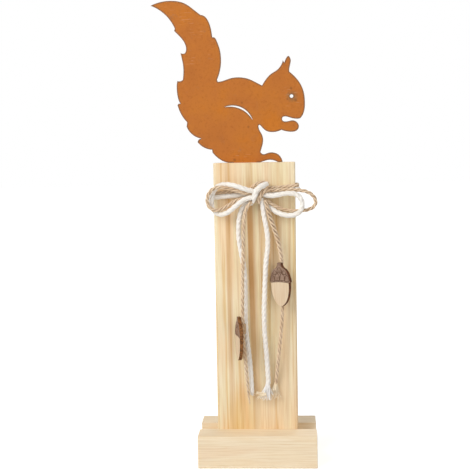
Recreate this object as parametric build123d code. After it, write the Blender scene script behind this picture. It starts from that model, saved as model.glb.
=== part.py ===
from build123d import *
import os
from math import pi, radians, tan

# Sizes in millimetres. X runs across the board, Y towards the back, Z up.
# The origin is the middle of the base block's underside.

# Base block: planed pine with a groove along its whole length
base_length = 102.0
base_depth = 69.0
base_height = 28.0
front_strip = 23.0
groove_depth = 12.0
groove_clearance = 0.1
base_edge_radius = 3.0
base_foot_radius = 1.0
base_end_chamfer = 0.4

# Board: planed pine, upright grain, standing on the groove's floor
board_width = 70.0
board_thickness = 20.0
board_top = 260.0
board_edge_radius = 1.5
board_end_chamfer = 0.4

# Squirrel: steel sheet cut to an outline, held by a tongue in a kerf
squirrel_width = 130.6
squirrel_height = 138.5
squirrel_shift = -21.3
plate_thickness = 1.5
eye_radius = 1.5
tongue_width = 20.0
tongue_depth = 15.0
tongue_shift = -8.0
kerf_clearance = 0.05

# Wood screws from under the base into the board
screw_spacing = 40.0
screw_length = 40.0
screw_diameter = 4.0
screw_head_diameter = 7.6
screw_head_height = 2.6
screw_tip_length = 5.0
screw_recess = 0.6
screw_clearance = 0.05
drive_width = 0.9
drive_length = 4.2
drive_depth = 1.6

# Cords
jute_diameter = 3.0
cotton_diameter = 3.6
band_gap = 0.2
jute_band_drop = 22.8
cotton_band_drop = 26.3
band_fall = 5.8
cotton_tuft_length = 13.0
cotton_tuft_width = 8.0
cotton_tuft_thickness = 4.0
jute_fray_length = 11.0
jute_fray_width = 5.5
jute_fray_thickness = 2.8

# Acorns: flat wood, each glued to the front of its twine
acorn_width = 22.0
acorn_height = 37.5
acorn_thickness = 3.0
acorn_gap = 0.3
score_width = 0.45
score_depth = 0.3
bead_radius = 2.7
bead_length = 9.0
bead_fillet = 0.8
bead_drop = 6.0
bead_clearance = 0.05

# Where each twine hangs straight behind its acorn: across the board, proud of
# its face, and below its top; then the acorn's top, turn and lean
left_axis_across = -11.3
left_axis_proud = 10.6
left_axis_start = 127.0
left_axis_end = 149.0
left_acorn_drop = 130.9
left_acorn_turn = 76.0
left_acorn_lean = 0.0
right_axis_across = 23.1
right_axis_proud = 6.8
right_axis_start = 87.0
right_axis_end = 110.0
right_acorn_drop = 84.9
right_acorn_turn = 40.0
right_acorn_lean = 3.0

# Share of the shorter run beside a corner that its arc may take
bend_share = 0.45

# Length past a face that every cut runs
overrun = 1.0

# Derived places
board_front = front_strip - base_depth / 2
board_middle = board_front + board_thickness / 2
board_foot = base_height - groove_depth
squirrel_left = squirrel_shift - squirrel_width / 2
jute_radius = jute_diameter / 2
cotton_radius = cotton_diameter / 2

# Squirrel outline, clockwise from the tip of the tail. Each row runs from the
# last corner to the next one. Shares of the width from the left and of the
# height from the bottom.
squirrel_start_share = (0.0, 0.974)
squirrel_row_shares = [
    # tail, upper edge
    [(0.073, 0.996), (0.148, 1.0), (0.223, 0.983), (0.282, 0.944), (0.326, 0.911)],
    [(0.356, 0.899), (0.378, 0.868), (0.392, 0.826), (0.4, 0.773)],
    [
        (0.414, 0.772), (0.43, 0.748), (0.444, 0.712), (0.454, 0.655), (0.453, 0.605), (0.443, 0.558),
        (0.426, 0.514),
    ],
    [(0.431, 0.501)],
    # back
    [(0.469, 0.507), (0.515, 0.521), (0.567, 0.526), (0.627, 0.517), (0.672, 0.498), (0.721, 0.473)],
    # nape, small ear, large ear
    [(0.745, 0.508), (0.778, 0.541), (0.823, 0.568), (0.845, 0.592), (0.859, 0.625)],
    [(0.869, 0.609)],
    [(0.881, 0.637), (0.896, 0.65), (0.907, 0.638), (0.907, 0.6), (0.901, 0.554)],
    # brow, nose and chin
    [
        (0.935, 0.525), (0.972, 0.479), (0.993, 0.429), (1.0, 0.373), (0.997, 0.323), (0.985, 0.289),
        (0.968, 0.268),
    ],
    [(0.937, 0.266), (0.904, 0.273), (0.872, 0.281), (0.853, 0.276), (0.85, 0.262), (0.858, 0.252)],
    # paw, forearm and breast
    [
        (0.887, 0.251), (0.922, 0.256), (0.948, 0.243), (0.959, 0.219), (0.949, 0.197), (0.918, 0.186),
        (0.845, 0.199),
    ],
    [(0.815, 0.189), (0.78, 0.186), (0.745, 0.194), (0.718, 0.216), (0.703, 0.232)],
    [(0.696, 0.23), (0.694, 0.221)],
    # thigh and foot
    [(0.7, 0.199), (0.716, 0.171), (0.723, 0.138), (0.716, 0.1), (0.704, 0.064)],
    [(0.724, 0.05), (0.755, 0.058), (0.786, 0.06), (0.816, 0.051), (0.838, 0.03), (0.849, 0.0)],
    [(0.818, 0.0)],
    [(0.796, 0.01), (0.763, 0.015), (0.732, 0.009), (0.7, 0.0)],
    [(0.505, 0.0)],
    # rump and the tail's underside, lobe by lobe
    [(0.459, 0.01), (0.422, 0.032), (0.388, 0.065)],
    [(0.386, 0.083)],
    [(0.335, 0.096), (0.291, 0.131)],
    [(0.297, 0.145), (0.316, 0.153)],
    [(0.258, 0.178), (0.22, 0.228)],
    [(0.224, 0.256)],
    [(0.19, 0.298), (0.166, 0.353)],
    [(0.169, 0.37), (0.183, 0.369)],
    [(0.168, 0.402), (0.161, 0.445), (0.16, 0.48), (0.165, 0.511)],
    [(0.182, 0.509), (0.202, 0.518)],
    [(0.206, 0.557), (0.206, 0.599), (0.199, 0.641), (0.19, 0.683)],
    [(0.206, 0.677), (0.22, 0.681)],
    [(0.227, 0.7), (0.221, 0.735), (0.195, 0.774), (0.151, 0.817)],
    [(0.156, 0.831)],
    [(0.137, 0.866), (0.108, 0.903), (0.064, 0.941), (0.0, 0.974)],
]
slit_back_share = (0.469, 0.344)
slit_front_share = (0.656, 0.262)
slit_top_share = (0.583, 0.341)
slit_foot_share = (0.577, 0.3325)
eye_share = (0.913, 0.405)

# Acorn outline, right half from the stalk's top down, and the line between
# cap and nut. Shares of the width from the middle and of the height below the top.
acorn_row_shares = [
    [(0.1, 0.0)],
    [(0.115, 0.075), (0.165, 0.11), (0.26, 0.14)],
    [(0.355, 0.2), (0.43, 0.28), (0.48, 0.365), (0.5, 0.435)],
    [(0.447, 0.452)],
    [(0.44, 0.58), (0.4, 0.72), (0.3, 0.86), (0.15, 0.955), (0.0, 1.0)],
]
cap_edge_share = (0.447, 0.452)
cap_middle_share = (0.0, 0.428)
# Scales scored in the cap: middle, foot, half width and height as shares
scale_shares = [
    (-0.355, 0.425, 0.11, 0.15),
    (-0.12, 0.41, 0.115, 0.19),
    (0.13, 0.41, 0.115, 0.19),
    (0.36, 0.425, 0.11, 0.15),
    (-0.235, 0.27, 0.095, 0.095),
    (0.0, 0.235, 0.12, 0.13),
    (0.235, 0.27, 0.095, 0.095),
]

# Cord routes. Each point is its place across the board, how far it stands
# proud of the board's face, and how far it lies below the board's top.
left_jute_loop_route = [
    (1.0, 5.5, 26.9), (-3.8, 6.1, 26.6), (-9.0, 7.0, 25.3), (-16.0, 8.2, 23.1), (-22.6, 9.6, 21.1),
    (-29.1, 10.4, 19.8), (-35.0, 10.6, 21.1), (-39.0, 10.6, 25.8), (-40.1, 10.6, 32.0), (-38.2, 10.4, 37.4),
    (-33.2, 10.0, 40.1), (-27.3, 9.0, 38.9), (-21.3, 7.8, 35.2), (-15.1, 6.2, 31.5), (-9.2, 4.9, 30.0),
    (-4.1, 4.2, 30.1), (0.5, 4.2, 30.4),
]
left_cotton_loop_route = [
    (2.8, 7.2, 24.4), (-2.2, 8.4, 23.8), (-7.4, 9.8, 22.2), (-12.7, 10.2, 20.1), (-18.7, 9.0, 18.3),
    (-25.1, 7.0, 17.7), (-31.0, 6.2, 19.3), (-34.9, 6.0, 23.6), (-36.5, 6.0, 29.3), (-36.4, 6.1, 35.3),
    (-34.6, 6.4, 40.6), (-30.0, 7.6, 43.7), (-24.5, 8.8, 42.8), (-19.8, 9.6, 39.7), (-15.8, 10.0, 36.3),
    (-11.8, 9.8, 33.0), (-7.8, 9.0, 30.6), (-3.6, 8.4, 29.4), (1.5, 8.3, 29.2),
]
right_jute_loop_route = [
    (14.3, 6.4, 23.4), (18.3, 5.4, 23.4), (24.0, 5.6, 23.2), (31.0, 5.7, 23.3), (38.0, 5.6, 23.6),
    (45.0, 5.4, 25.0), (50.4, 5.2, 28.7), (52.5, 5.2, 34.0), (50.3, 5.2, 38.4), (45.0, 5.2, 40.7),
    (38.2, 5.2, 41.4), (31.0, 5.2, 41.3), (24.6, 5.2, 40.1), (18.7, 5.3, 37.7), (13.4, 5.4, 34.4),
    (9.4, 5.4, 31.4),
]
right_cotton_loop_route = [
    (7.9, 7.2, 26.8), (12.1, 8.8, 28.0), (17.6, 9.3, 27.9), (23.6, 9.2, 26.5), (29.9, 9.2, 25.8),
    (35.5, 9.2, 26.8), (39.4, 9.2, 30.2), (40.9, 9.2, 35.7), (39.4, 9.2, 41.0), (34.8, 9.2, 44.4),
    (28.8, 8.8, 45.1), (22.9, 7.8, 43.9), (17.6, 6.2, 41.5), (13.2, 4.6, 38.3), (10.8, 3.6, 36.4),
]
left_cotton_tail_route = [
    (-1.7, 4.2, 34.2), (-6.0, 4.2, 34.6), (-9.4, 4.6, 36.9), (-11.9, 5.0, 41.7), (-13.4, 5.0, 48.0),
    (-14.0, 4.8, 55.3), (-13.9, 4.4, 63.1), (-12.9, 4.1, 71.3), (-11.2, 4.0, 80.3), (-9.6, 3.9, 90.3),
    (-9.0, 3.8, 101.6), (-9.1, 3.7, 114.1), (-9.3, 3.6, 127.5), (-9.1, 3.6, 141.0), (-7.9, 3.6, 155.5),
    (-6.3, 3.6, 169.0), (-5.4, 3.6, 182.0), (-4.6, 3.4, 198.4),
]
left_jute_tail_route = [
    (0.2, 6.6, 32.3), (-3.2, 7.8, 33.6), (-6.0, 8.5, 36.9), (-8.0, 9.0, 42.3), (-9.0, 9.5, 49.5),
    (-9.5, 9.9, 58.3), (-9.7, 10.2, 69.5), (-10.2, 10.4, 81.6), (-10.8, 10.5, 95.5), (-11.1, 10.6, 111.0),
    (left_axis_across, left_axis_proud, left_axis_start),
    (left_axis_across, left_axis_proud, left_axis_end),
    (-10.2, 9.8, 163.0), (-9.1, 8.8, 176.0), (-8.4, 7.4, 188.0), (-7.7, 6.0, 199.0), (-6.6, 4.8, 208.4),
]
right_cotton_tail_route = [
    (5.8, 6.2, 30.4), (6.8, 6.4, 34.8), (7.5, 6.4, 40.0), (8.3, 6.3, 46.8), (9.6, 6.1, 53.5),
    (10.7, 5.9, 60.6), (11.0, 5.7, 68.4), (10.3, 5.5, 76.1), (9.1, 5.3, 84.8), (8.3, 5.2, 95.5),
    (7.7, 5.2, 108.5), (6.9, 5.2, 124.0), (6.8, 5.2, 140.0), (7.5, 5.0, 153.6), (8.6, 4.8, 166.4),
    (9.3, 4.8, 179.0), (9.7, 5.0, 190.5),
]
right_jute_tail_route = [
    (9.2, 8.4, 31.6), (10.2, 8.7, 35.0), (11.5, 8.6, 39.9), (13.4, 8.2, 46.7), (15.8, 7.8, 53.5),
    (18.0, 7.5, 60.3), (20.0, 7.2, 67.1), (21.7, 7.0, 75.4),
    (right_axis_across, right_axis_proud, right_axis_start),
    (right_axis_across, right_axis_proud, right_axis_end),
    (22.9, 6.7, 123.0), (22.2, 6.5, 136.0), (20.8, 6.0, 150.0), (19.2, 5.2, 164.5), (17.6, 4.2, 178.5),
    (16.2, 3.0, 191.0),
]
cotton_knot_route = [
    (11.2, 7.2, 17.9), (8.6, 9.4, 18.7), (4.8, 12.0, 20.6), (1.6, 13.0, 23.8), (0.2, 12.4, 29.0),
    (-0.8, 10.2, 34.0),
]
jute_knot_route = [
    (14.3, 6.4, 23.4), (12.3, 6.9, 23.4), (9.0, 9.2, 23.7), (6.2, 11.0, 25.8), (4.6, 10.5, 29.5),
    (3.2, 7.6, 33.8),
]
jute_knot_turn_route = [
    (-3.1, 5.2, 22.7), (-0.9, 6.0, 19.6), (3.4, 5.6, 17.2), (8.0, 4.6, 16.4), (12.0, 3.8, 17.6),
]


def place(point):
    """Turn across, proud and drop into a point of the part."""
    across, proud, drop = point
    return Vector(across, board_front - proud, board_top - drop)


def bend_radii(points):
    """Give each corner of a route the largest arc that its two runs allow."""
    radii = []
    for before, here, after in zip(points, points[1:], points[2:]):
        arriving = here - before
        leaving = after - here
        half_turn = radians(arriving.get_angle(leaving)) / 2
        radii.append(bend_share * min(arriving.length, leaving.length) / tan(half_turn))
    return radii


def cord(name, route, diameter):
    """A round cord along a route, and what its centreline measures."""
    points = [place(point) for point in route]
    radii = bend_radii(points)
    path = Wire(FilletPolyline(*points, radius=radii).edges())
    start = Plane(origin=path @ 0, z_dir=path % 0)
    tube = sweep(start * Circle(diameter / 2), path=path)
    swept_share = tube.volume / (pi * (diameter / 2) ** 2 * path.length)
    bends = ", ".join(f"{radius:.1f}" for radius in radii)
    print(f"{name}: length {path.length:.1f}, volume share {swept_share:.4f}, bends {bends}")
    return tube, path


def band(drop, diameter):
    """A cord pulled tight round the board, falling a little from right to left."""
    radius = diameter / 2
    reach = board_width / 2 + band_gap + radius
    front = board_front - band_gap - radius
    back = board_front + board_thickness + band_gap + radius
    corner = board_edge_radius + band_gap + radius
    half_fall = band_fall / 2
    corners = []
    for across, depth, rise in ((reach, front, half_fall), (reach, back, half_fall),
                                (-reach, back, -half_fall), (-reach, front, -half_fall)):
        corners.append(Vector(across, depth, board_top - drop + rise))
    path = Wire(FilletPolyline(*corners, radius=corner, close=True).edges())
    start = Plane(origin=path @ 0, z_dir=path % 0)
    return sweep(start * Circle(radius), path=path)


def flare(path, diameter, length, width, thickness):
    """An opened cord end: from the cord's round section to a flat oval."""
    start = Plane(origin=path @ 1, z_dir=path % 1, x_dir=(1, 0, 0))
    end = start.offset(length)
    return loft([start * Circle(diameter / 2), end * Ellipse(width / 2, thickness / 2)])


def row_edges(start, rows, place_share):
    """Edges through rows of outline shares: a line, an arc or a smooth curve each."""
    edges = []
    corner = place_share(start)
    for row in rows:
        points = [corner] + [place_share(share) for share in row]
        if len(points) == 2:
            edges.append(Line(*points))
        elif len(points) == 3:
            edges.append(ThreePointArc(*points))
        else:
            edges.append(Spline(*points))
        corner = points[-1]
    return edges


def block_profile():
    """End view of the base block, with its groove and rounded long edges."""
    front = -base_depth / 2
    back = base_depth / 2
    groove_front = board_front - groove_clearance
    groove_back = board_front + board_thickness + groove_clearance
    corners = [
        (0, front, 0), (0, front, base_height), (0, groove_front, base_height), (0, groove_front, board_foot),
        (0, groove_back, board_foot), (0, groove_back, base_height), (0, back, base_height), (0, back, 0),
    ]
    radii = [base_foot_radius, base_edge_radius, 0, 0, 0, 0, base_edge_radius, base_foot_radius]
    return Face(Wire(FilletPolyline(*corners, radius=radii, close=True).edges()))


def screw_places():
    """The two screws' axes, on the base block's underside."""
    return [Vector(side * screw_spacing / 2, board_middle, 0) for side in (-1, 1)]


def screw_form(gap):
    """A countersunk screw, point up, from its recessed head; gap widens it for its hole."""
    head_radius = screw_head_diameter / 2 + gap
    shank_radius = screw_diameter / 2 + gap
    head_end = screw_recess + screw_head_height
    tip_start = screw_recess + screw_length - screw_tip_length
    tip = screw_recess + screw_length + gap
    profile = Polyline(
        (0, screw_recess),
        (head_radius, screw_recess),
        (shank_radius, head_end),
        (shank_radius, tip_start),
        (0, tip),
        close=True,
    )
    return revolve(Plane.XZ * make_face(profile), axis=Axis.Z)


def make_base_block():
    block = extrude(block_profile(), amount=base_length, dir=(1, 0, 0))
    block = Pos(-base_length / 2, 0, 0) * block
    ends = block.faces().filter_by(Axis.X)
    block = chamfer(ends.edges(), base_end_chamfer)
    for spot in screw_places():
        mouth_radius = screw_head_diameter / 2 + screw_clearance
        mouth = Cylinder(mouth_radius, screw_recess + overrun, align=(Align.CENTER, Align.CENTER, Align.MAX))
        block -= Pos(spot.X, spot.Y, screw_recess) * mouth
        block -= Pos(spot.X, spot.Y, 0) * screw_form(screw_clearance)
    return block


def make_post_board():
    height = board_top - board_foot
    board = Box(board_width, board_thickness, height, align=(Align.CENTER, Align.CENTER, Align.MIN))
    board = fillet(board.edges().filter_by(Axis.Z), board_edge_radius)
    ends = board.faces().sort_by(Axis.Z)
    board = chamfer(ends[-1].edges() + ends[0].edges(), board_end_chamfer)
    board = Pos(0, board_middle, board_foot) * board
    kerf = Box(
        tongue_width + 2 * kerf_clearance,
        plate_thickness + 2 * kerf_clearance,
        tongue_depth + kerf_clearance + overrun,
        align=(Align.CENTER, Align.CENTER, Align.MIN),
    )
    board -= Pos(tongue_shift, board_middle, board_top - tongue_depth - kerf_clearance) * kerf
    for spot in screw_places():
        board -= Pos(spot.X, spot.Y, 0) * screw_form(screw_clearance)
    return board


def make_base_screws():
    screws = []
    for spot in screw_places():
        screw = screw_form(0)
        for angle in (0, 90):
            slot_align = (Align.CENTER, Align.CENTER, Align.MAX)
            slot = Box(drive_length, drive_width, drive_depth + overrun, align=slot_align)
            screw -= Pos(0, 0, screw_recess + drive_depth) * Rot(0, 0, angle) * slot
        screws.append(Pos(spot.X, spot.Y, 0) * screw)
    return Compound(children=screws)


def squirrel_point(share):
    """A point of the squirrel's front face from its shares."""
    front = board_middle - plate_thickness / 2
    return Vector(squirrel_left + share[0] * squirrel_width, front, board_top + share[1] * squirrel_height)


def make_squirrel_plate():
    outline = row_edges(squirrel_start_share, squirrel_row_shares, squirrel_point)
    plate = extrude(Face(Wire(outline)), amount=plate_thickness, dir=(0, 1, 0))
    tongue = Box(
        tongue_width, plate_thickness, tongue_depth + overrun, align=(Align.CENTER, Align.CENTER, Align.MIN)
    )
    plate += Pos(tongue_shift, board_middle, board_top - tongue_depth) * tongue
    slit_back = squirrel_point(slit_back_share)
    slit_front = squirrel_point(slit_front_share)
    slit_upper = ThreePointArc(slit_back, squirrel_point(slit_top_share), slit_front)
    slit_lower = ThreePointArc(slit_front, squirrel_point(slit_foot_share), slit_back)
    slit_face = Face(Wire([slit_upper, slit_lower]))
    plate -= Pos(0, -overrun, 0) * extrude(slit_face, amount=plate_thickness + 2 * overrun, dir=(0, 1, 0))
    eye = squirrel_point(eye_share)
    eye_hole = Cylinder(eye_radius, plate_thickness + 2 * overrun)
    plate -= Pos(eye.X, board_middle, eye.Z) * Rot(90, 0, 0) * eye_hole
    return plate


def acorn_point(share):
    """A point of the acorn's front face; its twine's axis is the origin and its top is at zero."""
    front = -(jute_radius + acorn_gap + acorn_thickness)
    return Vector(share[0] * acorn_width, front, -share[1] * acorn_height)


def scale_face(middle, foot, half_width, height, inset):
    """One pointed scale of the cap, made smaller by an inset all round."""
    left = acorn_point((middle - half_width, foot)) + Vector(inset, 0, inset)
    right = acorn_point((middle + half_width, foot)) + Vector(-inset, 0, inset)
    tip = acorn_point((middle, foot - height)) + Vector(0, 0, -inset)
    left_waist = acorn_point((middle - half_width, foot - height / 2)) + Vector(inset, 0, 0)
    right_waist = acorn_point((middle + half_width, foot - height / 2)) + Vector(-inset, 0, 0)
    left_side = ThreePointArc(left, left_waist, tip)
    right_side = ThreePointArc(tip, right_waist, right)
    return Face(Wire([left_side, right_side, Line(right, left)]))


def make_acorn():
    """An acorn in its own place: behind it the twine's axis, its top at zero."""
    right_rows = row_edges((0, 0), acorn_row_shares, acorn_point)
    half = Face(Wire(right_rows + [Line(acorn_point((0, 1)), acorn_point((0, 0)))]))
    half_solid = extrude(half, amount=acorn_thickness, dir=(0, 1, 0))
    acorn = half_solid + mirror(half_solid, about=Plane.YZ)
    past = Vector(overrun, 0, 0)
    cap_left = acorn_point((-cap_edge_share[0], cap_edge_share[1])) - past
    cap_right = acorn_point(cap_edge_share) + past
    cap_middle = acorn_point(cap_middle_share)
    line = ThreePointArc(cap_left, cap_middle, cap_right)
    fall = Vector(0, 0, score_width)
    lower = ThreePointArc(cap_right - fall, cap_middle - fall, cap_left - fall)
    ends = [Line(cap_right, cap_right - fall), Line(cap_left - fall, cap_left)]
    scored = [Face(Wire([line, ends[0], lower, ends[1]]))]
    for scale in scale_shares:
        scored.append(scale_face(*scale, 0) - scale_face(*scale, score_width))
    for face in scored:
        acorn -= Pos(0, -overrun, 0) * extrude(face, amount=score_depth + overrun, dir=(0, 1, 0))
    return acorn


def make_bead():
    """The glue round the twine, flat against the acorn's back."""
    bead = Cylinder(bead_radius, bead_length)
    bead = fillet(bead.edges(), bead_fillet)
    bead = Pos(0, 0, -bead_drop - bead_length / 2) * bead
    front = -(jute_radius + acorn_gap)
    keep = Box(
        2 * (bead_radius + overrun),
        bead_radius - front + overrun,
        acorn_height,
        align=(Align.CENTER, Align.MIN, Align.MAX),
    )
    bead = bead & (Pos(0, front, 0) * keep)
    bore = Cylinder(jute_radius + bead_clearance, 2 * acorn_height)
    return bead - bore


def hang(solid, across, proud, drop, turn, lean):
    """Lean a piece in its own plane, turn it about its twine and hang it there."""
    spot = place((across, proud, drop))
    return Pos(spot.X, spot.Y, spot.Z) * Rot(0, 0, -turn) * Rot(0, -lean, 0) * solid


os.makedirs("parts", exist_ok=True)
nodes = {
    "base_block": make_base_block(),
    "post_board": make_post_board(),
    "squirrel_plate": make_squirrel_plate(),
    "base_screws": make_base_screws(),
    "jute_band": band(jute_band_drop, jute_diameter),
    "cotton_band": band(cotton_band_drop, cotton_diameter),
}
cord_routes = {
    "jute_knot": (jute_knot_route, jute_diameter),
    "jute_knot_turn": (jute_knot_turn_route, jute_diameter),
    "cotton_knot": (cotton_knot_route, cotton_diameter),
    "left_jute_loop": (left_jute_loop_route, jute_diameter),
    "right_jute_loop": (right_jute_loop_route, jute_diameter),
    "left_cotton_loop": (left_cotton_loop_route, cotton_diameter),
    "right_cotton_loop": (right_cotton_loop_route, cotton_diameter),
    "left_jute_tail": (left_jute_tail_route, jute_diameter),
    "right_jute_tail": (right_jute_tail_route, jute_diameter),
    "left_cotton_tail": (left_cotton_tail_route, cotton_diameter),
    "right_cotton_tail": (right_cotton_tail_route, cotton_diameter),
}
paths = {}
for name, (route, diameter) in cord_routes.items():
    nodes[name], paths[name] = cord(name, route, diameter)
nodes["right_cotton_tail"] += flare(
    paths["right_cotton_tail"], cotton_diameter, cotton_tuft_length, cotton_tuft_width, cotton_tuft_thickness
)
nodes["right_jute_tail"] += flare(
    paths["right_jute_tail"], jute_diameter, jute_fray_length, jute_fray_width, jute_fray_thickness
)
acorn = make_acorn()
bead = make_bead()
left_place = (left_axis_across, left_axis_proud, left_acorn_drop, left_acorn_turn)
right_place = (right_axis_across, right_axis_proud, right_acorn_drop, right_acorn_turn)
nodes["left_acorn"] = hang(acorn, *left_place, left_acorn_lean)
nodes["left_glue_bead"] = hang(bead, *left_place, 0)
nodes["right_acorn"] = hang(acorn, *right_place, right_acorn_lean)
nodes["right_glue_bead"] = hang(bead, *right_place, 0)
for name, solid in nodes.items():
    export_step(solid, f"parts/{name}.step")
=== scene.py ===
import math

import bpy
from mathutils import Matrix, Vector


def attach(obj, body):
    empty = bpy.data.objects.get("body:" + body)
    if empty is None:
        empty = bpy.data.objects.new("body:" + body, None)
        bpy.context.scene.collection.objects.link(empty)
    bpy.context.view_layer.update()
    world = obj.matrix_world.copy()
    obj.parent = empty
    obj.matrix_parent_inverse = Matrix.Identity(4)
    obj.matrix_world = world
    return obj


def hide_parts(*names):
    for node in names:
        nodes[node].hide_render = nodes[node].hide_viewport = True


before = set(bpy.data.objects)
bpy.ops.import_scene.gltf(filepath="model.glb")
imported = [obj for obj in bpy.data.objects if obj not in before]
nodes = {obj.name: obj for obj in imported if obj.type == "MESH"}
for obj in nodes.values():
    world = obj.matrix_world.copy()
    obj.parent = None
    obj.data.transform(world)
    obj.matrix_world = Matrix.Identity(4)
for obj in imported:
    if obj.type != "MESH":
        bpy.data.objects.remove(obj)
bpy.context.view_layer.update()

MM = 0.001

# Camera, matched to the corners of the block and the board, in metres and radians
IMAGE_WIDTH = 470
FOCAL_PIXELS = 1000.21
SENSOR_WIDTH = 36.0
CAMERA_PLACE = (0.02873, -0.86551, 0.27539)
CAMERA_YAW = 0.053798
CAMERA_PITCH = -0.089897
CAMERA_ROLL = 0.017140

# The board that the cords lie on, in millimetres
BOARD_FRONT = -11.5
BOARD_BACK = 8.5
BOARD_TOP = 260.0
BOARD_HALF_WIDTH = 35.0

# Cord routes as in the part: across the board, proud of its face, below its top
ROUTES = {
    "left_jute_loop": [
        (1.0, 5.5, 26.9), (-3.8, 6.1, 26.6), (-9.0, 7.0, 25.3), (-16.0, 8.2, 23.1), (-22.6, 9.6, 21.1),
        (-29.1, 10.4, 19.8), (-35.0, 10.6, 21.1), (-39.0, 10.6, 25.8), (-40.1, 10.6, 32.0), (-38.2, 10.4, 37.4),
        (-33.2, 10.0, 40.1), (-27.3, 9.0, 38.9), (-21.3, 7.8, 35.2), (-15.1, 6.2, 31.5), (-9.2, 4.9, 30.0),
        (-4.1, 4.2, 30.1), (0.5, 4.2, 30.4),
    ],
    "left_cotton_loop": [
        (2.8, 7.2, 24.4), (-2.2, 8.4, 23.8), (-7.4, 9.8, 22.2), (-12.7, 10.2, 20.1), (-18.7, 9.0, 18.3),
        (-25.1, 7.0, 17.7), (-31.0, 6.2, 19.3), (-34.9, 6.0, 23.6), (-36.5, 6.0, 29.3), (-36.4, 6.1, 35.3),
        (-34.6, 6.4, 40.6), (-30.0, 7.6, 43.7), (-24.5, 8.8, 42.8), (-19.8, 9.6, 39.7), (-15.8, 10.0, 36.3),
        (-11.8, 9.8, 33.0), (-7.8, 9.0, 30.6), (-3.6, 8.4, 29.4), (1.5, 8.3, 29.2),
    ],
    "right_jute_loop": [
        (14.3, 6.4, 23.4), (18.3, 5.4, 23.4), (24.0, 5.6, 23.2), (31.0, 5.7, 23.3), (38.0, 5.6, 23.6),
        (45.0, 5.4, 25.0), (50.4, 5.2, 28.7), (52.5, 5.2, 34.0), (50.3, 5.2, 38.4), (45.0, 5.2, 40.7),
        (38.2, 5.2, 41.4), (31.0, 5.2, 41.3), (24.6, 5.2, 40.1), (18.7, 5.3, 37.7), (13.4, 5.4, 34.4),
        (9.4, 5.4, 31.4),
    ],
    "right_cotton_loop": [
        (7.9, 7.2, 26.8), (12.1, 8.8, 28.0), (17.6, 9.3, 27.9), (23.6, 9.2, 26.5), (29.9, 9.2, 25.8),
        (35.5, 9.2, 26.8), (39.4, 9.2, 30.2), (40.9, 9.2, 35.7), (39.4, 9.2, 41.0), (34.8, 9.2, 44.4),
        (28.8, 8.8, 45.1), (22.9, 7.8, 43.9), (17.6, 6.2, 41.5), (13.2, 4.6, 38.3), (10.8, 3.6, 36.4),
    ],
    "left_cotton_tail": [
        (-1.7, 4.2, 34.2), (-6.0, 4.2, 34.6), (-9.4, 4.6, 36.9), (-11.9, 5.0, 41.7), (-13.4, 5.0, 48.0),
        (-14.0, 4.8, 55.3), (-13.9, 4.4, 63.1), (-12.9, 4.1, 71.3), (-11.2, 4.0, 80.3), (-9.6, 3.9, 90.3),
        (-9.0, 3.8, 101.6), (-9.1, 3.7, 114.1), (-9.3, 3.6, 127.5), (-9.1, 3.6, 141.0), (-7.9, 3.6, 155.5),
        (-6.3, 3.6, 169.0), (-5.4, 3.6, 182.0), (-4.6, 3.4, 198.4),
    ],
    "left_jute_tail": [
        (0.2, 6.6, 32.3), (-3.2, 7.8, 33.6), (-6.0, 8.5, 36.9), (-8.0, 9.0, 42.3), (-9.0, 9.5, 49.5),
        (-9.5, 9.9, 58.3), (-9.7, 10.2, 69.5), (-10.2, 10.4, 81.6), (-10.8, 10.5, 95.5), (-11.1, 10.6, 111.0),
        (-11.3, 10.6, 127.0), (-11.3, 10.6, 149.0), (-10.2, 9.8, 163.0), (-9.1, 8.8, 176.0), (-8.4, 7.4, 188.0),
        (-7.7, 6.0, 199.0), (-6.6, 4.8, 208.4),
    ],
    "right_cotton_tail": [
        (5.8, 6.2, 30.4), (6.8, 6.4, 34.8), (7.5, 6.4, 40.0), (8.3, 6.3, 46.8), (9.6, 6.1, 53.5),
        (10.7, 5.9, 60.6), (11.0, 5.7, 68.4), (10.3, 5.5, 76.1), (9.1, 5.3, 84.8), (8.3, 5.2, 95.5),
        (7.7, 5.2, 108.5), (6.9, 5.2, 124.0), (6.8, 5.2, 140.0), (7.5, 5.0, 153.6), (8.6, 4.8, 166.4),
        (9.3, 4.8, 179.0), (9.7, 5.0, 190.5),
    ],
    "right_jute_tail": [
        (9.2, 8.4, 31.6), (10.2, 8.7, 35.0), (11.5, 8.6, 39.9), (13.4, 8.2, 46.7), (15.8, 7.8, 53.5),
        (18.0, 7.5, 60.3), (20.0, 7.2, 67.1), (21.7, 7.0, 75.4), (23.1, 6.8, 87.0), (23.1, 6.8, 110.0),
        (22.9, 6.7, 123.0), (22.2, 6.5, 136.0), (20.8, 6.0, 150.0), (19.2, 5.2, 164.5), (17.6, 4.2, 178.5),
        (16.2, 3.0, 191.0),
    ],
    "cotton_knot": [
        (11.2, 7.2, 17.9), (8.6, 9.4, 18.7), (4.8, 12.0, 20.6), (1.6, 13.0, 23.8), (0.2, 12.4, 29.0),
        (-0.8, 10.2, 34.0),
    ],
    "jute_knot": [
        (14.3, 6.4, 23.4), (12.3, 6.9, 23.4), (9.0, 9.2, 23.7), (6.2, 11.0, 25.8), (4.6, 10.5, 29.5),
        (3.2, 7.6, 33.8),
    ],
    "jute_knot_turn": [
        (-3.1, 5.2, 22.7), (-0.9, 6.0, 19.6), (3.4, 5.6, 17.2), (8.0, 4.6, 16.4), (12.0, 3.8, 17.6),
    ],
}

# The bands round the board, in millimetres: their gap from it, how much they fall from right to left, how far
# from a corner its neighbouring points lie, and how far below the board's top each band goes round
BAND_GAP = 0.2
BAND_FALL = 5.8
BAND_CORNER = 4.0
BANDS = {"jute_band": 22.8, "cotton_band": 26.3}

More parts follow.
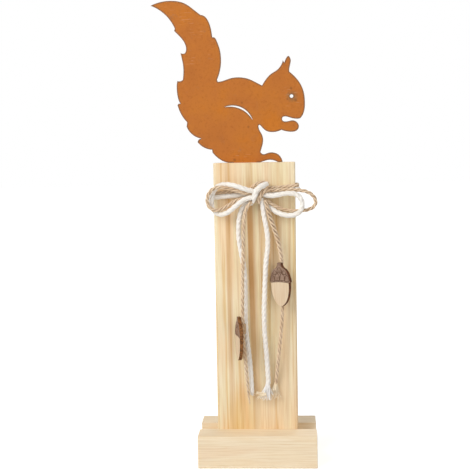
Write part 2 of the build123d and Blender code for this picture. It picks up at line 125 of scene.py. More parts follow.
# How each cord is laid up, in millimetres: its diameter, its strands' radius and the radius that they turn at,
# the length of one turn (below zero where it turns the other way), and its loose fibres on each square one
LAYS = {
    "jute": {
        "diameter": 3.0, "strands": 3, "strand": 0.76, "lay": 0.88, "turn": -15.0,
        "fibres": 0.35, "fibre_length": 1.4, "fibre_radius": 0.045,
    },
    "cotton": {
        "diameter": 3.6, "strands": 3, "strand": 1.54, "lay": 0.71, "turn": 15.0,
        "fibres": 0.3, "fibre_length": 1.0, "fibre_radius": 0.04,
    },
}
CORD_STEP = 0.6
FIRST_BAND_SEED = 40

# Along each cord, as stops of (share of the way, value): its strands' spread, their thickness, and its
# loose fibres, which are pressed flat behind an acorn and leave it room to turn
EVEN = [(0.0, 1.0), (1.0, 1.0)]
SHAPES = {
    "cotton_knot": (
        [(0.0, 0.9), (0.2, 1.3), (0.7, 1.2), (1.0, 0.2)], [(0.0, 0.9), (0.15, 1.2), (0.7, 1.1), (1.0, 0.35)], EVEN,
    ),
    "jute_knot": ([(0.0, 1.0), (0.3, 1.3), (1.0, 1.2)], [(0.0, 1.0), (0.3, 1.25), (1.0, 1.2)], EVEN),
    "left_jute_tail": (
        [(0.0, 1.0), (0.78, 1.0), (0.86, 0.8), (0.95, 0.7), (1.0, 0.25)],
        [(0.0, 1.0), (0.78, 1.0), (0.86, 0.85), (0.95, 0.7), (1.0, 0.4)],
        [(0.0, 1.0), (0.53, 1.0), (0.54, 0.0), (0.8, 0.0), (0.81, 1.0), (1.0, 1.0)],
    ),
    "right_jute_tail": (
        [(0.0, 1.0), (0.08, 1.5), (0.25, 1.5), (0.34, 1.0), (1.0, 1.0)], EVEN,
        [(0.0, 1.0), (0.3, 1.0), (0.31, 0.0), (0.6, 0.0), (0.61, 1.0), (1.0, 1.0)],
    ),
}

# Loose ends: where each starts, as a route's point; where it points; its material and its slot; and its fibres:
# their count, length, bundle's radius, spread across the board and out from it, wave and own radius, in
# millimetres, and then the number of locks and the seed
LOOSE_ENDS = {
    "right_cotton_tuft": (
        (9.5, 5.0, 188.5), (-0.1, -0.04, -1.0), "loose cotton, painted lighter", "cotton", (44, 16.5, 1.5, 6.2, 0.6, 2.0, 0.62, 12, 3),
    ),
    "right_cotton_wisp": (
        (7.8, 6.2, 199.6), (-1.0, -0.05, -0.1), "loose jute, painted lighter", "jute", (30, 9.5, 1.3, 2.6, 0.6, 1.4, 0.56, 2, 5),
    ),
    "right_jute_fray": (
        (16.2, 3.0, 190.0), (-0.1, 0.0, -1.0), "loose jute, painted lighter", "jute", (60, 14.5, 1.2, 6.0, 1.2, 6.0, 0.42, 9, 9),
    ),
    "left_cotton_end": (
        (-4.6, 3.4, 197.6), (0.06, 0.0, -1.0), "cotton", "cotton", (40, 3.8, 1.4, 0.9, 0.5, 0.8, 0.5, 5, 11),
    ),
}

# The acorns in millimetres, with the face in front of the twine's axis; and the cap's foot in shares of the
# height: how far down it is in the middle, and how much lower at a whole width to the side
ACORN_WIDTH = 22.0
ACORN_HEIGHT = 37.5
ACORN_FACE = -4.8
CAP_FOOT = 0.437
CAP_FALL = 0.12

# Where the rust is thin, grey and scratched, and how far each patch reaches, in millimetres
RUST_PATCHES = [
    ((-51.0, -1.5, 381.0), 19.0), ((-57.0, -1.5, 350.0), 10.0), ((-32.0, -1.5, 357.0), 11.0),
    ((34.0, -1.5, 316.0), 12.0), ((-10.0, -1.5, 266.0), 12.0), ((-68.0, -1.5, 394.0), 14.0),
]

# Dark specks in the rust: place and radius, in millimetres
RUST_SPECKS = [
    ((-9.9, -1.5, 311.2), 1.0), ((-4.6, -1.5, 290.6), 1.0), ((0.4, -1.5, 325.4), 0.7), ((32.4, -1.5, 322.6), 1.2),
    ((36.2, -1.5, 312.6), 1.3), ((29.0, -1.5, 313.6), 0.9), ((-17.0, -1.5, 262.4), 1.3), ((-35.0, -1.5, 372.0), 0.8),
]

# The middle of the smudge round the squirrel's eye, in millimetres
EYE_SMUDGE = (33.1, -1.5, 315.7)

# Each lamp's azimuth and elevation in degrees, distance and side in metres, power in watts, and colour
LAMPS = {
    "key lamp": (-45.0, 34.0, 1.6, 1.1, 17.5, "#FFFFFF"),
    "fill lamp": (35.0, 20.0, 1.8, 1.2, 5.5, "#FFFCF8"),
    "back lamp": (160.0, 28.0, 1.8, 1.0, 7.0, "#FFFFFF"),
}

# The spot that the lamps face, and how far the floor reaches each way, in metres
LAMP_AIM = (0.0, 0.0, 0.2)
FLOOR_REACH = 6.0


def place(spot):
    """A route's point in metres, in the part's frame."""
    across, proud, drop = spot
    return Vector((across, BOARD_FRONT - proud, BOARD_TOP - drop)) * MM


def new_object(name, data):
    made = bpy.data.objects.new(name, data)
    bpy.context.collection.objects.link(made)
    return made


def make_camera():
    data = bpy.data.cameras.new("photo_camera")
    data.sensor_fit = "HORIZONTAL"
    data.sensor_width = SENSOR_WIDTH
    data.lens = SENSOR_WIDTH * FOCAL_PIXELS / IMAGE_WIDTH
    data.clip_start = 0.01
    data.clip_end = 50.0
    camera = new_object("photo_camera", data)
    turn = Matrix.Rotation(CAMERA_YAW, 4, "Z") @ Matrix.Rotation(CAMERA_PITCH, 4, "X")
    turn = turn @ Matrix.Rotation(CAMERA_ROLL, 4, "Y") @ Matrix.Rotation(math.radians(90), 4, "X")
    camera.matrix_world = Matrix.Translation(CAMERA_PLACE) @ turn
    bpy.context.scene.camera = camera


def add(tree, kind, feeds=None, stops=None, **settings):
    """Add a node with its settings, its ramp's stops and its feeds; a kind without "Node" is a shader node's."""
    node = tree.nodes.new(kind if "Node" in kind else "ShaderNode" + kind)
    for name, value in settings.items():
        setattr(node, name, value)
    if stops:
        elements = node.color_ramp.elements
        while len(elements) > 1:
            elements.remove(elements[-1])
        for number, (position, code) in enumerate(stops):
            element = elements[0] if number == 0 else elements.new(position)
            element.position = position
            element.color = colour(code)
    feed(tree, node, feeds or {})
    return node


def feed(tree, node, feeds):
    """Give sockets their values, colours by their codes, or links: from a socket, or a node's first output in use."""
    for socket, value in feeds.items():
        if isinstance(value, bpy.types.Node):
            value = next(output for output in value.outputs if output.enabled)
        if isinstance(value, bpy.types.NodeSocket):
            tree.links.new(value, node.inputs[socket])
        elif isinstance(value, str) and value.startswith("#"):
            node.inputs[socket].default_value = colour(value)
        else:
            node.inputs[socket].default_value = value


def colour(code):
    """A linear colour from an sRGB hex code, a grey from a plain number, or three plain numbers as they are."""
    if isinstance(code, float):
        return (code, code, code, 1.0)
    if isinstance(code, tuple):
        return (*code, 1.0)
    channels = [int(code[start:start + 2], 16) / 255 for start in (1, 3, 5)]
    linear = [c / 12.92 if c <= 0.04045 else ((c + 0.055) / 1.055) ** 2.4 for c in channels]
    return (*linear, 1.0)


# Geometry Nodes: twisted cords and frayed ends

def new_tree(name, inputs):
    """A Geometry Nodes tree with named inputs; returns it, its inputs' sockets and its output node."""
    tree = bpy.data.node_groups.new(name, "GeometryNodeTree")
    tree.interface.new_socket("Geometry", in_out="INPUT", socket_type="NodeSocketGeometry")
    tree.interface.new_socket("Geometry", in_out="OUTPUT", socket_type="NodeSocketGeometry")
    for label, kind in inputs:
        tree.interface.new_socket(label, in_out="INPUT", socket_type=f"NodeSocket{kind}")
    return tree, add(tree, "NodeGroupInput").outputs, add(tree, "NodeGroupOutput")


def make_cord_tree():
    """Strands that turn round a line, with short loose fibres on them."""
    tree, given, result = new_tree("twisted_cord", [
        ("Strands", "Int"), ("Strand Radius", "Float"), ("Lay Radius", "Float"), ("Turn Length", "Float"),
        ("Step", "Float"), ("Fibres", "Float"), ("Fibre Length", "Float"), ("Fibre Radius", "Float"),
        ("Seed", "Int"), ("Material", "Material"),
    ])
    # Each strand is a copy of the line, moved out from it by the lay radius at its own phase of the turn
    line = add(tree, "GeometryNodeMeshToCurve", {"Mesh": given["Geometry"]})
    line = add(tree, "GeometryNodeResampleCurve", {"Curve": line, "Length": given["Step"]}, mode="LENGTH")
    copies = add(tree, "GeometryNodeDuplicateElements", {"Geometry": line, "Amount": given["Strands"]}, domain="SPLINE")
    along = add(tree, "GeometryNodeSplineParameter").outputs["Length"]
    turns = add(tree, "Math", {0: along, 1: given["Turn Length"]}, operation="DIVIDE")
    phase = add(tree, "Math", {0: copies.outputs[1], 1: given["Strands"]}, operation="DIVIDE")
    phase = add(tree, "Math", {0: phase, 1: turns}, operation="ADD")
    angle = add(tree, "Math", {0: phase, 1: 2 * math.pi}, operation="MULTIPLY")
    normal = add(tree, "GeometryNodeInputNormal")
    tangent = add(tree, "GeometryNodeInputTangent")
    side = add(tree, "VectorMath", {0: tangent, 1: normal}, operation="CROSS_PRODUCT")
    cosine = add(tree, "Math", {0: angle}, operation="COSINE")
    sine = add(tree, "Math", {0: angle}, operation="SINE")
    first = add(tree, "VectorMath", {0: normal, "Scale": cosine}, operation="SCALE")
    second = add(tree, "VectorMath", {0: side, "Scale": sine}, operation="SCALE")
    outward = add(tree, "VectorMath", {0: first, 1: second}, operation="ADD")
    spread = add(tree, "GeometryNodeInputNamedAttribute", {"Name": "spread"})
    reach = add(tree, "Math", {0: given["Lay Radius"], 1: spread}, operation="MULTIPLY")
    offset = add(tree, "VectorMath", {0: outward, "Scale": reach}, operation="SCALE")
    spot = add(tree, "GeometryNodeInputPosition")
    marked = copies
    for label, kind, value in (
        ("along", "FLOAT", along), ("strand", "FLOAT", copies.outputs[1]), ("centre", "FLOAT_VECTOR", spot),
    ):
        marked = add(
            tree, "GeometryNodeStoreNamedAttribute", {"Geometry": marked, "Name": label, "Value": value}, data_type=kind
        )
    laid = add(tree, "GeometryNodeSetPosition", {"Geometry": marked, "Offset": offset})
    ring = add(tree, "GeometryNodeCurvePrimitiveCircle", {"Resolution": 8, "Radius": given["Strand Radius"]})
    ring = add(
        tree, "GeometryNodeStoreNamedAttribute",
        {"Geometry": ring, "Name": "around", "Value": add(tree, "GeometryNodeSplineParameter")},
    )
    thick = add(tree, "GeometryNodeInputNamedAttribute", {"Name": "thick"})
    tubes = add(
        tree, "GeometryNodeCurveToMesh", {"Curve": laid, "Profile Curve": ring, "Scale": thick, "Fill Caps": True}
    )
    # Grooves between the strands, by how near the surface is to the cord's middle, as a share of the whole radius
    centre = add(tree, "GeometryNodeInputNamedAttribute", {"Name": "centre"}, data_type="FLOAT_VECTOR")
    proud = add(tree, "VectorMath", {0: spot, 1: centre}, operation="DISTANCE")
    outer = add(tree, "Math", {0: thick, 1: given["Strand Radius"], 2: reach}, operation="MULTIPLY_ADD")
    proud = add(tree, "Math", {0: proud, 1: outer}, operation="DIVIDE")
    groove = add(tree, "MapRange", {"Value": proud, "From Min": 0.92, "From Max": 0.7})
    # The fibre material paints shade in the grooves by this mask
    tubes = add(tree, "GeometryNodeStoreNamedAttribute", {"Geometry": tubes, "Name": "groove", "Value": groove})
    # Loose fibres: slim cones that stand on the strands, bent, leaning and each of its own length
    loose = add(tree, "GeometryNodeInputNamedAttribute", {"Name": "loose"})
    density = add(tree, "Math", {0: given["Fibres"], 1: loose}, operation="MULTIPLY")
    points = add(
        tree, "GeometryNodeDistributePointsOnFaces", {"Mesh": tubes, "Density": density, "Seed": given["Seed"]}
    )
    fibre = add(
        tree, "GeometryNodeMeshCone",
        {"Vertices": 3, "Side Segments": 2, "Radius Top": 0.0, "Radius Bottom": given["Fibre Radius"],
         "Depth": given["Fibre Length"]},
        fill_type="NONE",
    )
    height = add(tree, "SeparateXYZ", {0: add(tree, "GeometryNodeInputPosition")}).outputs[2]
    share = add(tree, "Math", {0: height, 1: given["Fibre Length"]}, operation="DIVIDE")
    bend = add(tree, "Math", {0: share, 1: 2.0}, operation="POWER")
    bend = add(tree, "Math", {0: bend, 1: given["Fibre Length"]}, operation="MULTIPLY")
    bend = add(tree, "CombineXYZ", {0: bend})
    curled = add(tree, "GeometryNodeSetPosition", {"Geometry": fibre, "Offset": bend})
    lean = add(
        tree, "FunctionNodeRandomValue", {0: (0.5, -0.4, 0.0), 1: (1.3, 0.4, 2 * math.pi), "Seed": given["Seed"]},
        data_type="FLOAT_VECTOR",
    )
    lean = add(tree, "FunctionNodeEulerToRotation", {0: lean})
    turned = add(tree, "FunctionNodeRotateRotation", {0: points.outputs["Rotation"], 1: lean}, rotation_space="LOCAL")
    size = add(tree, "FunctionNodeRandomValue", {2: 0.4, 3: 1.0, "Seed": given["Seed"]})
    fuzz = add(
        tree, "GeometryNodeInstanceOnPoints", {"Points": points, "Instance": curled, "Rotation": turned, "Scale": size}
    )
    joined = add(tree, "GeometryNodeJoinGeometry", {0: tubes})
    feed(tree, joined, {0: fuzz})
    real = add(tree, "GeometryNodeRealizeInstances", {0: joined})
    painted = add(tree, "GeometryNodeSetMaterial", {"Geometry": real, "Material": given["Material"]})
    feed(tree, result, {0: painted})
    return tree


def make_fray_tree():
    """A bundle of fibres that leaves a cord's end along -Z and spreads."""
    tree, given, result = new_tree("frayed_end", [
        ("Count", "Int"), ("Length", "Float"), ("Root Radius", "Float"), ("Spread Across", "Float"),
        ("Spread Deep", "Float"), ("Wave", "Float"), ("Fibre Radius", "Float"), ("Locks", "Int"), ("Seed", "Int"),
        ("Material", "Material"),
    ])
    # The fibres start at random spots in the cord's end
    number = add(tree, "GeometryNodeInputIndex")
    angle = add(tree, "FunctionNodeRandomValue", {2: 0.0, 3: 2 * math.pi, "ID": number, "Seed": given["Seed"]})
    far = add(tree, "FunctionNodeRandomValue", {2: 0.0, 3: 1.0, "ID": number, "Seed": 7})
    far = add(tree, "Math", {0: far}, operation="SQRT")
    far = add(tree, "Math", {0: far, 1: given["Root Radius"]}, operation="MULTIPLY")
    cosine = add(tree, "Math", {0: angle}, operation="COSINE")
    sine = add(tree, "Math", {0: angle}, operation="SINE")
    root = add(tree, "CombineXYZ", {0: cosine, 1: sine})
    root = add(tree, "VectorMath", {0: root, "Scale": far}, operation="SCALE")
    points = add(tree, "GeometryNodePoints", {"Count": given["Count"], "Position": root})
    straight = add(tree, "GeometryNodeCurvePrimitiveLine", {"Start": (0, 0, 0), "End": (0, 0, -1)})
    straight = add(tree, "GeometryNodeResampleCurve", {"Curve": straight, "Count": 7})
    cut = add(tree, "FunctionNodeRandomValue", {2: 0.62, 3: 1.0, "Seed": given["Seed"]})
    cut = add(tree, "Math", {0: cut, 1: given["Length"]}, operation="MULTIPLY")
    cut = add(tree, "CombineXYZ", {0: 1.0, 1: 1.0, 2: cut})
    strands = add(tree, "GeometryNodeInstanceOnPoints", {"Points": points, "Instance": straight, "Scale": cut})
    strands = add(tree, "GeometryNodeRealizeInstances", {0: strands})
    # The fibres of a lock share an aim, and each strays a little from it
    share = add(tree, "GeometryNodeSplineParameter")
    which = add(tree, "GeometryNodeCurveOfPoint").outputs["Curve Index"]
    share_of_all = add(tree, "Math", {0: which, 1: given["Count"]}, operation="DIVIDE")
    lock = add(tree, "Math", {0: share_of_all, 1: given["Locks"]}, operation="MULTIPLY")
    lock = add(tree, "Math", {0: lock}, operation="FLOOR")
    aim = add(
        tree, "FunctionNodeRandomValue", {0: (-1, -1, 0), 1: (1, 1, 0), "ID": lock, "Seed": given["Seed"]},
        data_type="FLOAT_VECTOR",
    )
    own = add(
        tree, "FunctionNodeRandomValue", {0: (-0.3, -0.3, 0), 1: (0.3, 0.3, 0), "ID": which, "Seed": 4},
        data_type="FLOAT_VECTOR",
    )
    aim = add(tree, "VectorMath", {0: aim, 1: own}, operation="ADD")
    spread = add(tree, "CombineXYZ", {0: given["Spread Across"], 1: given["Spread Deep"]})
    aim = add(tree, "VectorMath", {0: aim, 1: spread}, operation="MULTIPLY")
    growth = add(tree, "Math", {0: share, 1: 1.3}, operation="POWER")
    aim = add(tree, "VectorMath", {0: aim, "Scale": growth}, operation="SCALE")
    shift = add(tree, "CombineXYZ", {0: lock, 1: lock})
    shift = add(tree, "VectorMath", {0: add(tree, "GeometryNodeInputPosition"), 1: shift}, operation="ADD")
    ripple = add(tree, "TexNoise", {"Vector": shift, "Scale": 180.0, "Detail": 1.0})
    ripple = add(tree, "VectorMath", {0: ripple.outputs["Color"], 1: (0.5, 0.5, 0.5)}, operation="SUBTRACT")
    amount = add(tree, "Math", {0: growth, 1: given["Wave"]}, operation="MULTIPLY")
    ripple = add(tree, "VectorMath", {0: ripple, "Scale": amount}, operation="SCALE")
    offset = add(tree, "VectorMath", {0: aim, 1: ripple}, operation="ADD")
    moved = add(tree, "GeometryNodeSetPosition", {"Geometry": strands, "Offset": offset})
    moved = add(tree, "GeometryNodeStoreNamedAttribute", {"Geometry": moved, "Name": "strand", "Value": which})
    ring = add(tree, "GeometryNodeCurvePrimitiveCircle", {"Resolution": 5, "Radius": given["Fibre Radius"]})
    slim = add(tree, "Math", {0: 1.0, 1: share}, operation="SUBTRACT")
    slim = add(tree, "Math", {0: slim, 1: 0.35}, operation="MAXIMUM")
    tubes = add(
        tree, "GeometryNodeCurveToMesh", {"Curve": moved, "Profile Curve": ring, "Scale": slim, "Fill Caps": True}
    )
    real = add(tree, "GeometryNodeRealizeInstances", {0: tubes})
    painted = add(tree, "GeometryNodeSetMaterial", {"Geometry": real, "Material": given["Material"]})
    feed(tree, result, {0: painted})
    return tree


def grown(name, mesh, tree, values, matrix=None):
    """A plain mesh piece from a mesh, a Geometry Nodes tree and values for its inputs."""
    holder = new_object("holder", mesh)
    modifier = holder.modifiers.new("form", "NODES")
    modifier.node_group = tree
    sockets = {item.name: item.identifier for item in tree.interface.items_tree if item.in_out == "INPUT"}
    for label, value in values.items():
        modifier[sockets[label]] = value
    graph = bpy.context.evaluated_depsgraph_get()
    made = bpy.data.meshes.new_from_object(holder.evaluated_get(graph))
    bpy.data.objects.remove(holder)
    if matrix:
        made.transform(matrix)
    made.name = name
    piece = new_object(name, made)
    for face in made.polygons:
        face.use_smooth = True
    return piece


def route_line(name, spots, closed=False):
    """Points along the smooth spline that has a route's points as its control points."""
    curve = bpy.data.curves.new(name, "CURVE")
    curve.dimensions = "3D"
    curve.resolution_u = 16
    spline = curve.splines.new("NURBS")
    spline.points.add(len(spots) - 1)
    for point, spot in zip(spline.points, spots):
        point.co = (*spot, 1.0)
    spline.order_u = 3
    if closed:
        spline.use_cyclic_u = True
    else:
        spline.use_endpoint_u = True
    holder = new_object(name, curve)
    graph = bpy.context.evaluated_depsgraph_get()
    mesh = bpy.data.meshes.new_from_object(holder.evaluated_get(graph))
    line = [vertex.co.copy() for vertex in mesh.vertices]
    bpy.data.objects.remove(holder)
    bpy.data.meshes.remove(mesh)
    return line


def line_length(line):
    return sum((b - a).length for a, b in zip(line, line[1:]))


def line_mesh(name, line, shares, closed=False):
    """A line as a mesh, with its strands' spread and thickness and its share of loose fibres at each point."""
    edges = [(number, number + 1) for number in range(len(line) - 1)]
    if closed:
        edges.append((len(line) - 1, 0))
    mesh = bpy.data.meshes.new(name)
    mesh.from_pydata(line, edges, [])
    gone = [0.0]
    for a, b in zip(line, line[1:]):
        gone.append(gone[-1] + (b - a).length)
    for label, stops in zip(("spread", "thick", "loose"), shares):
        values = mesh.attributes.new(label, "FLOAT", "POINT").data
        for value, distance in zip(values, gone):
            value.value = share_at(stops, distance / gone[-1])
    return mesh


def share_at(stops, where):
    """The value at a share of the way, between stops of (share of the way, value)."""
    for (start, low), (end, high) in zip(stops, stops[1:]):
        if where <= end:
            blend = (where - start) / (end - start)
            return low + (high - low) * blend
    return stops[-1][1]


def kind_of(name):
    return "jute" if "jute" in name else "cotton"


def lay_cord(name, spots, seed, tree, material, closed=False):
    """Lay a cord's strands along a route, in place of the node of its name; returns the piece and its line."""
    kind = kind_of(name)
    lay = LAYS[kind]
    line = route_line(name, spots, closed)
    turn = lay["turn"] * MM
    if closed:
        around = line_length(line + line[:1])
        turn = around / round(around / turn)
    mesh = line_mesh(name + "_strands", line, SHAPES.get(name, (EVEN, EVEN, EVEN)), closed)
    piece = grown(name + "_strands", mesh, tree, {
        "Strands": lay["strands"],
        "Strand Radius": lay["strand"] * MM,
        "Lay Radius": lay["lay"] * MM,
        "Turn Length": turn,
        "Step": CORD_STEP * MM,
        "Fibres": lay["fibres"] / MM ** 2,
        "Fibre Length": lay["fibre_length"] * MM,
        "Fibre Radius": lay["fibre_radius"] * MM,
        "Seed": seed,
        "Material": material,
    })
    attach(piece, "stand")
    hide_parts(name)
    return piece, line


def band_spots(drop, radius):
    """A band's points in metres: three to each corner of the board, in order round it."""
    reach = BOARD_HALF_WIDTH + BAND_GAP + radius
    front = BOARD_FRONT - BAND_GAP - radius
    back = BOARD_BACK + BAND_GAP + radius
    slope = BAND_FALL * BAND_CORNER / (2 * reach)
    spots = []
    for side, y in ((1, front), (1, back), (-1, back), (-1, front)):
        corner = Vector((side * reach, y, BOARD_TOP - drop + side * BAND_FALL / 2))
        crosswise = Vector((-side * BAND_CORNER, 0.0, -side * slope))
        inward = Vector((0.0, BAND_CORNER if y == front else -BAND_CORNER, 0.0))
        three = [corner + crosswise, corner, corner + inward]
        if (side, y) in ((1, back), (-1, front)):
            three.reverse()
        spots += [spot * MM for spot in three]
    return spots


def make_loose_end(name, start, aim, fibres, tree, material):
    """Loose fibres at a cord's end, from a spot along an aim."""
    vertex = bpy.data.meshes.new(name)
    vertex.from_pydata([(0, 0, 0)], [], [])
    # The fibres run along -Z; Y is as near as it can be to the depth, so that they spread across the board
    back = -Vector(aim).normalized()
    inward = (Vector((0.0, 1.0, 0.0)) - back * back.y).normalized()
    turn = Matrix((inward.cross(back), inward, back)).transposed().to_4x4()
    count, length, root, across, deep, wave, radius, locks, seed = fibres
    piece = grown(name, vertex, tree, {
        "Count": count, "Length": length * MM, "Root Radius": root * MM, "Spread Across": across * MM,
        "Spread Deep": deep * MM, "Wave": wave * MM, "Fibre Radius": radius * MM, "Locks": locks,
        "Seed": seed, "Material": material,
    }, Matrix.Translation(place(start)) @ turn)
    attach(piece, "stand")
    return piece


# Materials. A noise's scale is how many of its marks lie along a metre: 900 gives marks about a millimetre long

def empty_tree(owner):
    """The node tree of a material or of the world, with nothing in it."""
    owner.use_nodes = True
    owner.node_tree.nodes.clear()
    return owner.node_tree


def new_material(name, feeds):
    """A principled material; returns it, its tree, its shader and its texture coordinates."""
    material = bpy.data.materials.new(name)
    tree = empty_tree(material)
    shader = add(tree, "BsdfPrincipled", feeds)
    add(tree, "OutputMaterial", {"Surface": shader})
    return material, tree, shader, add(tree, "TexCoord").outputs


def planed_pine(name, turn, pith, rings, warp, tones, streak_share, streak_run, streak_from, foot_tint=None):
    """Planed pine, bare: broad pale early wood, soft tan late wood that ends sharply, fine fibres along it."""
    material, tree, shader, coords = new_material(name, {"Roughness": 0.6, "Specular IOR Level": 0.3})
    grain = add(tree, "Mapping", {"Vector": coords["Object"], "Rotation": turn})
    # Slow wander of the rings, stretched along the grain
    slow = add(tree, "VectorMath", {0: grain, 1: (1.0, 1.0, 0.16)}, operation="MULTIPLY")
    wander = add(tree, "TexNoise", {"Vector": slow, "Scale": 34.0, "Detail": 2.0, "Roughness": 0.5})
    wander = add(tree, "Math", {0: wander, 1: 0.5}, operation="SUBTRACT")
    off = add(tree, "VectorMath", {0: grain, 1: (-pith[0] * MM, -pith[1] * MM, 0.0)}, operation="ADD")
    off = add(tree, "VectorMath", {0: off, 1: (1.0, 1.0, 0.0)}, operation="MULTIPLY")
    radius = add(tree, "VectorMath", {0: off}, operation="LENGTH")
    radius = add(tree, "Math", {0: wander, 1: warp * MM, 2: radius}, operation="MULTIPLY_ADD")
    # Each year ends at its own radius, in late wood of its own strength and share of the year's width
    last = rings[-1][0]
    reach = add(tree, "Math", {0: radius, 1: last * MM}, operation="DIVIDE")
    steps = [(ring[0] / last, number / (len(rings) - 1)) for number, ring in enumerate(rings)]
    age = add(tree, "ValToRGB", {"Fac": reach}, stops=steps)
    age = add(tree, "Math", {0: age, 1: len(rings) - 1.0}, operation="MULTIPLY")
    part = add(tree, "Math", {0: age}, operation="FRACT")
    yearly = add(
        tree, "ValToRGB", {"Fac": reach},
        stops=[(inner[0] / last, (outer[1], outer[2], 0.0)) for inner, outer in zip(rings, rings[1:])],
    )
    yearly.color_ramp.interpolation = "CONSTANT"
    strength, width, _ = add(tree, "SeparateColor", {0: yearly}).outputs
    # Late wood sets in at 1.6 of its share before the year's end, is full at 0.6 of it and stops sharply
    begins = add(tree, "Math", {0: width, 1: -1.6, 2: 1.0}, operation="MULTIPLY_ADD")
    full = add(tree, "Math", {0: width, 1: -0.6, 2: 1.0}, operation="MULTIPLY_ADD")
    late = add(tree, "MapRange", {"Value": part, "From Min": begins, "From Max": full}, interpolation_type="SMOOTHSTEP")
    ends = add(tree, "MapRange", {"Value": part, "From Min": 1.0, "From Max": 0.9, "To Min": 0.3})
    late = add(tree, "Math", {0: late, 1: ends}, operation="MULTIPLY")
    late = add(tree, "Math", {0: late, 1: strength}, operation="MULTIPLY")
    # The late wood is weaker near the board's foot and its top, and in the block. Its full strength between 0.6 and
    # 0.8 of the board's height is partly painted shadow of the cords
    height = add(tree, "SeparateXYZ", {0: grain}).outputs[2]
    fade = add(tree, "Math", {0: height, 1: BOARD_TOP * MM}, operation="DIVIDE")
    fade = add(
        tree, "ValToRGB", {"Fac": fade},
        stops=[(0.12, 0.3), (0.25, 0.58), (0.45, 0.74), (0.6, 1.0), (0.8, 1.0), (1.0, 0.25)],
    )
    late = add(tree, "Math", {0: late, 1: fade}, operation="MULTIPLY")
    # Fibres: streaks some millimetres wide and hair-fine ones, both long along the grain
    thin = add(tree, "VectorMath", {0: grain, 1: (1.0, 1.0, 0.03)}, operation="MULTIPLY")
    fibres = add(tree, "TexNoise", {"Vector": thin, "Scale": 900.0, "Detail": 3.0, "Roughness": 0.6})
    broken = add(tree, "VectorMath", {0: grain, 1: (1.0, 1.0, streak_run)}, operation="MULTIPLY")
    streaks = add(tree, "TexNoise", {"Vector": broken, "Scale": 260.0, "Detail": 3.0, "Roughness": 0.55})
    zone = add(tree, "TexNoise", {"Vector": slow, "Scale": 75.0, "Detail": 1.0})
    base = add(tree, "ValToRGB", {"Fac": zone}, stops=[(0.34, tones[0]), (0.5, tones[1]), (0.64, tones[2])])
    base = add(tree, "Mix", {0: late, 6: base, 7: tones[3]}, data_type="RGBA")
    if foot_tint:
        # An upright oval is tinted warmer and darker: its middle and its half width and height
        across, up, half_width, half_height = (size * MM for size in foot_tint)
        oval = add(tree, "VectorMath", {0: grain, 1: (across, 0.0, up)}, operation="SUBTRACT")
        oval = add(tree, "VectorMath", {0: oval, 1: (1 / half_width, 0.0, 1 / half_height)}, operation="MULTIPLY")
        oval = add(tree, "VectorMath", {0: oval}, operation="LENGTH")
        tint_weight = add(
            tree, "MapRange", {"Value": oval, "From Min": 1.0, "From Max": 0.4}, interpolation_type="SMOOTHSTEP"
        )
        base = add(tree, "Mix", {0: tint_weight, 6: base, 7: "#F8E7CD"}, data_type="RGBA", blend_type="MULTIPLY")
    streak = add(
        tree, "ValToRGB", {"Fac": streaks},
        stops=[(streak_from, "#F0DBB8"), (streak_from + 0.14, "#FFFFFF"), (0.75, "#FFFAF0")],
    )
    base = add(tree, "Mix", {0: streak_share, 6: base, 7: streak}, data_type="RGBA", blend_type="MULTIPLY")
    fine = add(tree, "ValToRGB", {"Fac": fibres}, stops=[(0.32, "#F2EADC"), (0.6, "#FFFFFF")])
    base = add(tree, "Mix", {0: 0.8, 6: base, 7: fine}, data_type="RGBA", blend_type="MULTIPLY")
    bump = add(tree, "Bump", {"Strength": 0.2, "Distance": 0.1 * MM, "Height": fibres})
    feed(tree, shader, {"Base Color": base, "Normal": bump})
    return material


def nearness(tree, where, spot, start, full, most=1.0):
    """How near the surface is to a spot: nothing at one distance in millimetres, and the most at a shorter one."""
    away = add(tree, "VectorMath", {0: where, 1: tuple(Vector(spot) * MM)}, operation="DISTANCE")
    return add(tree, "MapRange", {"Value": away, "From Min": start * MM, "From Max": full * MM, "To Max": most})


